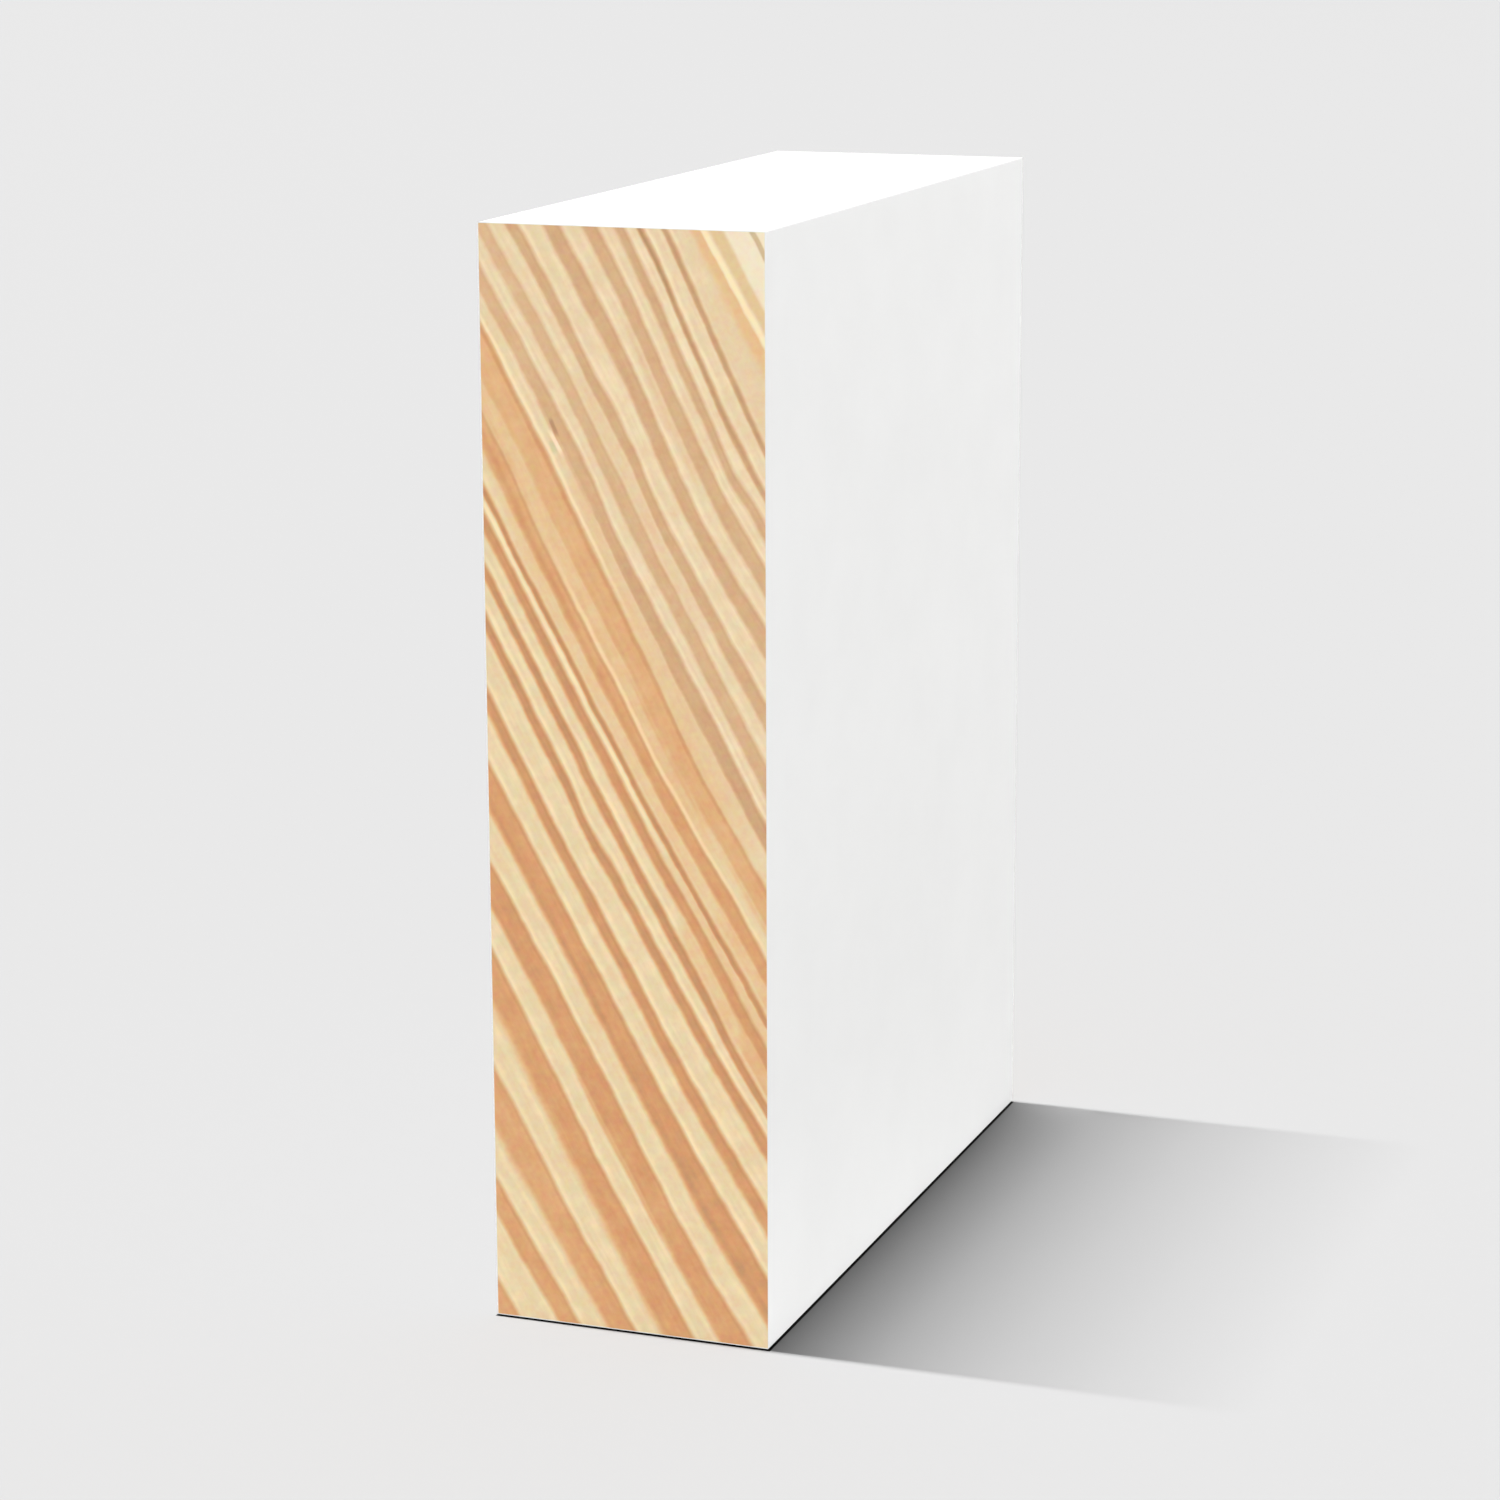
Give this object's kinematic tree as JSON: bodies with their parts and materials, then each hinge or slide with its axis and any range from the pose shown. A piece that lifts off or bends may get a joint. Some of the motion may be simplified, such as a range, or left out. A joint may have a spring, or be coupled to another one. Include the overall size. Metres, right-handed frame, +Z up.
{
  "type": "timber moulding",
  "caption": "Short square-cut length of square-edge softwood moulding, white primer on its long faces and bare end grain, standing on its narrow edge.",
  "frame": {"origin": "middle of the underside, the narrow edge that the moulding stands on", "axes": "+Z up across the wide face, +X across the thickness towards the show face, +Y along the length and the grain"},
  "size_m": [0.018, 0.052, 0.068],
  "materials": {
    "primer": "matt white factory primer on planed softwood, over the long faces and arrises",
    "bare_pine": "bare pine end grain, cleanly sawn and unfinished, with growth rings"
  },
  "bodies": {
    "root": {"moulding": "primer"}
  },
  "joints": []
}
